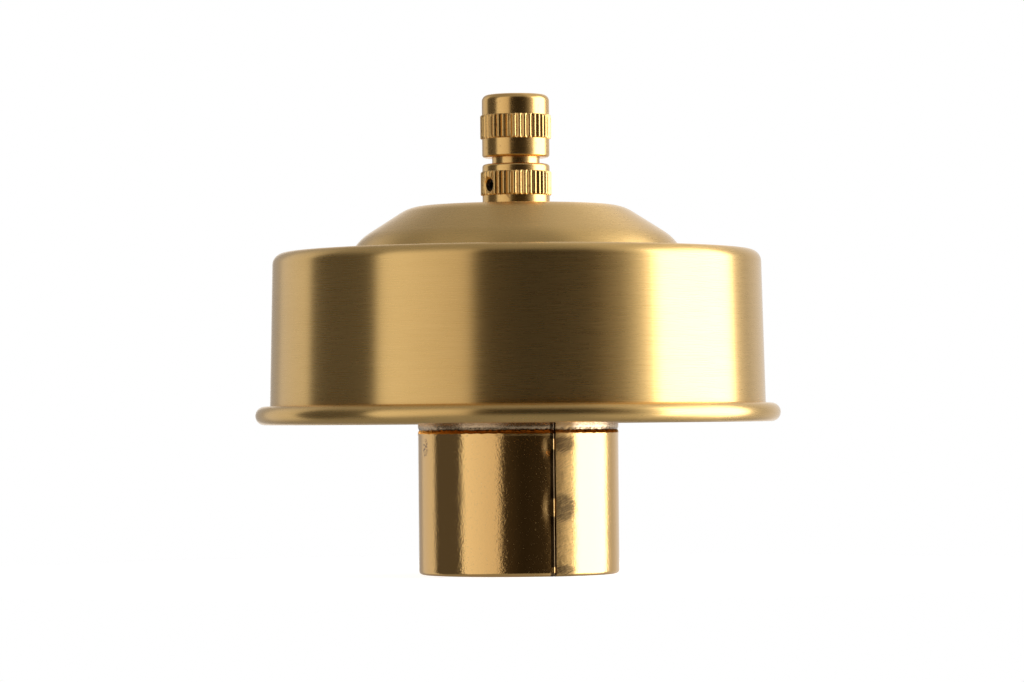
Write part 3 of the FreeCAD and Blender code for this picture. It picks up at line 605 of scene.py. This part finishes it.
def makeShade(look):
    # The outer face runs from the hole over crown, cone, foot, shelf and drum; its end rolls outwards round
    # curlRadius: point = centre + curlRadius (cos, sin) of an angle that grows from curlStart by curlSweep.
    points, normals = filletPath([
        (look["holeRadius"], look["top"]),
        (look["crownRadius"], look["top"], look["crownFillet"]),
        (look["breakRadius"], look["breakHeight"], look["breakFillet"]),
        (look["footRadius"], look["shelf"], look["footFillet"]),
        (look["drumRadius"], look["shelf"], look["shoulderFillet"]),
        (look["rimRadius"], look["curlHeight"]),
    ])
    start = math.radians(look["curlStart"])
    angle = start + np.radians(np.linspace(0, look["curlSweep"], look["curlRows"] + 1))[1:]
    outward = np.stack([np.cos(angle), np.sin(angle)], axis=-1)
    centre = points[-1] - look["curlRadius"] * np.array([math.cos(start), math.sin(start)])
    points = np.vstack([points, centre + look["curlRadius"] * outward])
    normals = np.vstack([normals, -outward])
    section = sheetSection(points, normals, look["gauge"]) * mm
    mesh = gridMesh("spun_shade", turnedGrid(section, roundAngles(look["columns"])))
    addPiece(mesh, "root", "satin_brass", "shade")


makeShade(shadeLook)
print("shade done")


# Rolled sleeve

sleeveLook = {
    "radius": 20.0, "gauge": 0.3, "corner": 0.8, "lipRadius": 18.0, "top": 59.0, "seam": -68.6,
    "joggleWidth": 0.5, "seamGap": 0.02, "overlap": 4.0,
    "welds": [(25.4, 1.8), (13.4, 2.8)],            # height and reach of the spot welds by the seam
    "dents": [(2.2, 1.6, 0.04), (-1.5, 0.9, 0.26)],     # way round from the seam, reach and depth
    "crease": 28.8, "creaseDepth": 0.20, "creaseWidth": 0.38,
    "creaseWave": 0.06, "creaseTurns": ((53, 0), (89, 1)),      # sine waves: how many to a turn, and their start
    "ridgeDepth": 0.20 / 3, "ridgeDrop": 2,         # the ridge below the crease, its drop in crease widths
    "step": 0.45, "leastStep": 0.1, "seamColumns": 60, "fineBefore": 0.3,       # columns, finer by the joggle
    "rows": 92, "creaseRows": (-1.3, 0.9, 23),
}


def makeSleeve(look):
    # A sheet along (cos, sin) of an angle that starts at the seam's edge and goes once round and on under its own
    # edge: the depth below the outer face is 0, then rises over the joggle by a smooth step to gauge + gap. To it
    # come bell-shaped dents of the spot welds on both sides of the seam, and a bell-shaped groove round the sleeve
    # with a low ridge under it, whose height wavers by two sine waves of the angle. Every row of the outline is moved
    # inwards along its normal by that depth.
    points, normals = filletPath([
        (look["radius"], look["top"]),
        (look["radius"], 0, look["corner"]),
        (look["lipRadius"], 0),
    ])
    straight = np.linspace(look["top"], look["corner"], look["rows"])[1:-1]
    straight = np.sort(np.append(straight, look["crease"] + np.linspace(*look["creaseRows"])))[::-1]
    wall = np.stack([np.full_like(straight, look["radius"]), straight], axis=-1)
    points = np.vstack([points[:1], wall, points[1:]])
    normals = np.vstack([normals[:1], np.tile(normals[0], (len(wall), 1)), normals[1:]])
    around = 2 * math.pi * look["radius"]
    fineFrom = around - look["joggleWidth"] - look["fineBefore"]
    fine = np.linspace(fineFrom, around + look["overlap"], look["seamColumns"])
    length = np.concatenate([np.arange(0, fineFrom - look["leastStep"], look["step"]), fine])
    share = np.clip((length - around + look["joggleWidth"]) / look["joggleWidth"], 0, 1)
    angle = math.radians(look["seam"]) + length / look["radius"]
    depth = (look["gauge"] + look["seamGap"]) * share * share * (3 - 2 * share) + np.zeros((len(points), 1))
    for height, reach in look["welds"]:
        for middle, wide, deep in look["dents"]:
            away = (length[None] - middle - (around if middle < 0 else 0)) / wide
            depth += deep * np.exp(-away ** 2 - ((points[:, 1:2] - height) / reach) ** 2)
    wave = look["creaseWave"] * sum(np.sin(turns * angle + start) for turns, start in look["creaseTurns"])
    fromCrease = (points[:, 1:2] - look["crease"] - wave[None]) / look["creaseWidth"]
    depth += look["creaseDepth"] * np.exp(-fromCrease ** 2)
    depth -= look["ridgeDepth"] * np.exp(-(fromCrease + look["ridgeDrop"]) ** 2)
    outerPath = points[:, None] - normals[:, None] * depth[..., None]
    innerPath = outerPath - normals[:, None] * look["gauge"]
    section = np.concatenate([outerPath, innerPath[::-1]]) * mm
    mesh = gridMesh("rolled_sleeve", turnedGrid(section, angle), closedColumns=False, capped=True)
    addPiece(mesh, "root", "polished_brass", "sleeve")


makeSleeve(sleeveLook)
print("sleeve done")


# Cord grip

ribLook = {
    "teeth": 40, "crest": 7.08, "root": 6.773, "rounding": 0.045, "crestShare": 0.375, "turn": -93.0,
    "chamfer": 0.22, "length": 4.8, "columns": 16, "rows": 12,
    "outside": 6.8,         # only rows beyond this radius are cut to ribs
}


def ribbedGrid(section, bandBottom, look):
    # A turned section whose rows inside the band follow the teeth, but never outside its own radius. Over crestShare
    # of a tooth the radius is crest - rounding * (way from the middle)^2; from there it falls in a line to the root.
    teeth = np.arange(look["teeth"] * look["columns"]) / look["columns"]
    angles = math.radians(look["turn"]) + teeth * 2 * math.pi / look["teeth"]
    away = 2 * np.abs((teeth + 0.5) % 1 - 0.5)
    share = look["crestShare"]
    top = look["crest"] - look["rounding"] * np.minimum(away / share, 1) ** 2
    ribbed = top + (look["root"] - look["crest"] + look["rounding"]) * np.maximum(away - share, 0) / (1 - share)
    table = np.repeat(section[:, None], len(angles), axis=1)
    radius, height = section.T
    inBand = (radius > look["outside"]) & (height >= bandBottom) & (height <= bandBottom + look["length"])
    table[inBand, :, 0] = np.minimum(table[inBand, :, 0], ribbed)
    return turnedGrid(table * mm, angles)


def bandRows(bottom, plain, look):
    # The band's envelope from its lower face to its upper one, between two turns of the plain radius
    crest, chamfer, top = look["crest"], look["chamfer"], bottom + look["length"]
    heights = np.linspace(bottom + chamfer, top - chamfer, look["rows"])
    ends = [(plain, bottom), (crest - chamfer, bottom)]
    middle = [(crest, height) for height in heights]
    return ends + middle + [(crest - chamfer, top), (plain, top)]


gripLook = {
    "plain": 6.72, "edgeFillet": 0.6,
    "bodyBottom": 73.4, "bodyBand": 75.5, "bodyEnd": 81.8, "neck": 4.75, "neckEnd": 87.9, "neckBore": 3.4,
    "neckCone": 0.9, "socket": 5.05, "socketEnd": 80.0,
    "capBottom": 83.1, "capBand": 86.8, "capEnd": 95.7, "capTopFillet": 1.3, "capBore": 4.83,
    "cordHole": 4.0, "capCeiling": 94.2, "cordHoleFillet": 0.65,
    "holeAngle": -143.0, "holeHeight": 77.5, "holeRadius": 1.25, "holeSink": 0.35, "holeColumns": 48,
    "hair": 0.001, "closing": 0.01,     # gaps that keep rows of one radius, and a section's two ends, apart
}


def makeGripCap(look):
    # A closed section turned round Z: up the outside through the ribbed band, over the top and down the bore
    lower = filletPath([
        (look["capBore"], look["capBottom"]),
        (look["plain"], look["capBottom"], look["edgeFillet"]),
        (look["plain"], look["capBand"] - look["hair"]),
    ])[0]
    upper = filletPath([
        (look["plain"], look["capBand"] + ribLook["length"] + look["hair"]),
        (look["plain"], look["capEnd"], look["capTopFillet"]),
        (look["cordHole"], look["capEnd"], look["cordHoleFillet"]),
        (look["cordHole"], look["capCeiling"]),
        (look["capBore"], look["capCeiling"]),
        (look["capBore"], look["capBottom"] + look["closing"]),
    ])[0]
    section = np.vstack([lower, bandRows(look["capBand"], look["plain"], ribLook), upper])
    mesh = gridMesh("clamp_cap", ribbedGrid(section, look["capBand"], ribLook))
    addPiece(mesh, "clamp_cap", "turned_brass", "grip_cap")


def cutRound(piece, angle, height, stops, columns):
    # A round hole along a radius: the cutter is a section (radius, distance from the axis) turned about that line,
    # with a hair-thin channel along it, so that its grid is closed
    grid = turnedGrid(np.array(stops[::-1]) * mm, roundAngles(columns))
    turn = math.radians(angle)
    along, side = np.array([math.cos(turn), math.sin(turn), 0]), np.array([-math.sin(turn), math.cos(turn), 0])
    placed = grid[..., 2:3] * along + grid[..., 0:1] * side + grid[..., 1:2] * np.array([0, 0, 1])
    placed[..., 2] += height * mm
    cutter = bpy.data.objects.new("cutter", gridMesh("cutter", placed))
    bpy.context.scene.collection.objects.link(cutter)
    cut = piece.modifiers.new("cut", "BOOLEAN")
    cut.object = cutter
    cut.operation = "DIFFERENCE"
    cut.solver = "EXACT"
    graph = bpy.context.evaluated_depsgraph_get()
    shaped = piece.evaluated_get(graph)
    mesh = bpy.data.meshes.new_from_object(shaped, preserve_all_data_layers=True, depsgraph=graph)
    piece.modifiers.clear()
    piece.data = mesh
    bpy.data.objects.remove(cutter)


def makeGripBody(look):
    # The collar in the same way: outside, shoulder, neck with its cone, bore and the tube's socket. Its grub screw's
    # hole is countersunk: at the crest's radius it is wider by the sink and by how far its mouth curves back.
    lower = filletPath([
        (look["socket"], look["bodyBottom"]),
        (look["plain"], look["bodyBottom"]),
        (look["plain"], look["bodyBand"] - look["hair"]),
    ])[0]
    upper = filletPath([
        (look["plain"], look["bodyBand"] + ribLook["length"] + look["hair"]),
        (look["plain"], look["bodyEnd"], look["edgeFillet"]),
        (look["neck"], look["bodyEnd"]),
        (look["neck"], look["neckEnd"]),
        (look["neckBore"] + look["neckCone"], look["neckEnd"]),
        (look["neckBore"], look["neckEnd"] - look["neckCone"]),
        (look["neckBore"], look["socketEnd"]),
        (look["socket"], look["socketEnd"]),
        (look["socket"], look["bodyBottom"] + look["closing"]),
    ])[0]
    section = np.vstack([lower, bandRows(look["bodyBand"], look["plain"], ribLook), upper])
    mesh = gridMesh("grip_collar", ribbedGrid(section, look["bodyBand"], ribLook))
    piece = addPiece(mesh, "root", "turned_brass", "grip_body")
    hole, rim, hair = look["holeRadius"], ribLook["crest"], look["hair"]
    mouth = hole + look["holeSink"]
    depth = rim - math.sqrt(rim * rim - mouth * mouth) + look["holeSink"]
    inner, step = look["neckBore"], rim - depth
    stops = [(hair, inner), (hole, inner), (hole, step), (hole + depth, rim), (hair, rim)]
    cutRound(piece, look["holeAngle"], look["holeHeight"], stops, look["holeColumns"])


makeGripCap(gripLook)
makeGripBody(gripLook)
print("cord grip done")


# Threaded tube and the lamp's screw shell

tubeLook = {
    "bore": 3.75, "bottom": 51.0, "top": 79.8, "radius": 5.0, "chamfer": 0.5, "pitch": 1.0, "depth": 0.5,
    "flank": 1.15, "crestFlat": 0.05, "columns": 72, "rowsPerTurn": 10, "sharpAngle": 50,
}


def makeThreadedTube(look):
    # Outer radius = crest - depth * (triangle wave of height / pitch - angle / full turn, its slope raised to flank
    # and cut flat at crest and root), eased at both ends and cut by the chamfer's cone; the bore is plain.
    rows = int((look["top"] - look["bottom"]) / look["pitch"] * look["rowsPerTurn"])
    height = np.linspace(look["bottom"], look["top"], rows)
    angles = roundAngles(look["columns"])
    phase = (height[:, None] / look["pitch"] - angles[None, :] / (2 * math.pi)) % 1.0
    wave = np.clip(look["flank"] * np.abs(2 * phase - 1) - look["crestFlat"], 0, 1)
    fromEnd = np.minimum(height - look["bottom"], look["top"] - height)
    ease = np.clip(fromEnd / look["pitch"], 0, 1)[:, None]
    radius = look["radius"] - look["depth"] * wave * ease
    cone = look["radius"] - look["chamfer"] + fromEnd[:, None]
    radii = np.vstack([np.minimum(radius, cone)[::-1], np.full((2, look["columns"]), look["bore"])])
    heights = np.concatenate([height[::-1], [look["bottom"], look["top"]]])
    section = np.stack([radii, np.repeat(heights[:, None], look["columns"], axis=1)], axis=-1)
    mesh = gridMesh("threaded_rod_tube", turnedGrid(section * mm, angles), sharpAngle=look["sharpAngle"])
    addPiece(mesh, "root", "plain_brass", "threaded_tube")


shellLook = {
    "baseHole": 6.0, "baseTop": 26.0, "endRadius": 11.1, "stepTop": 21.4, "radius": 12.65, "stepBottom": 19.85,
    "edge": 5.0, "flare": 1.0, "fillet": 1.0, "gauge": 0.4, "columns": 120,
    "pitch": 3.62, "depth": 0.95, "from": 7.4, "to": 18.6, "fade": 1.2, "threadRows": 72,
}


def makeScrewShell(look):
    # The drawn cup's outline is moved outwards along its normal by depth * (1 - cos(phase)) / 2, where phase grows
    # by a full turn per pitch of height and falls by one per turn round the axis, and fades out at both ends.
    points, normals = filletPath([
        (look["baseHole"], look["baseTop"]),
        (look["endRadius"], look["baseTop"], look["fillet"]),
        (look["endRadius"], look["stepTop"], look["fillet"]),
        (look["radius"], look["stepBottom"], look["fillet"]),
        (look["radius"], look["edge"] + look["flare"], look["flare"]),
        (look["radius"] + look["flare"], look["edge"]),
    ])
    first = int(np.argmax(points[:, 1] < look["to"] + look["fade"]))
    heights = np.linspace(points[first - 1, 1], points[first, 1], look["threadRows"] + 2)[1:-1]
    wall = np.stack([np.full_like(heights, look["radius"]), heights], axis=-1)
    points = np.vstack([points[:first], wall, points[first:]])
    normals = np.vstack([normals[:first], np.tile([1.0, 0.0], (len(wall), 1)), normals[first:]])
    angles = roundAngles(look["columns"])
    phase = 2 * math.pi * points[:, 1:2] / look["pitch"] - angles[None, :]
    fromEnd = np.minimum(points[:, 1:2] - look["from"], look["to"] - points[:, 1:2])
    shift = look["depth"] * (1 - np.cos(phase)) / 2 * np.clip(fromEnd / look["fade"], 0, 1)
    outer = points[:, None] + normals[:, None] * shift[..., None]
    inner = outer - normals[:, None] * look["gauge"]
    mesh = gridMesh("lamp_screw_shell", turnedGrid(np.concatenate([outer, inner[::-1]]) * mm, angles))
    addPiece(mesh, "root", "plain_brass", "screw_shell")


makeThreadedTube(tubeLook)
makeScrewShell(shellLook)
print("threads done")


# Pieces that keep the form of their solids

keptPieces = {
    "sleeve_lid": "plain_brass", "holder_cap": "black_moulding", "holder_barrel": "black_moulding",
    "terminal_block": "white_ceramic", "shell_rivets": "plain_brass", "live_terminal": "plain_brass",
    "neutral_terminal": "plain_brass", "lower_nut": "plain_brass", "upper_nut": "plain_brass",
    "clamp_washer": "plain_brass", "lock_washer": "zinc_steel", "terminal_screws": "zinc_steel",
    "grip_grub_screw": "black_steel", "holder_grub_screw": "zinc_steel", "centre_contact": "plain_brass",
    "contact_ring": "zinc_steel", "contact_spring": "zinc_steel", "grip_ferrule": "white_nylon",
}


def finishKept(pieces):
    # Gives the solids' own meshes a finish
    for name, slotName in pieces.items():
        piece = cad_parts[name]
        piece.data.materials.clear()
        piece.data.materials.append(finishes[slotName])


finishKept(keptPieces)
print("kept pieces done")
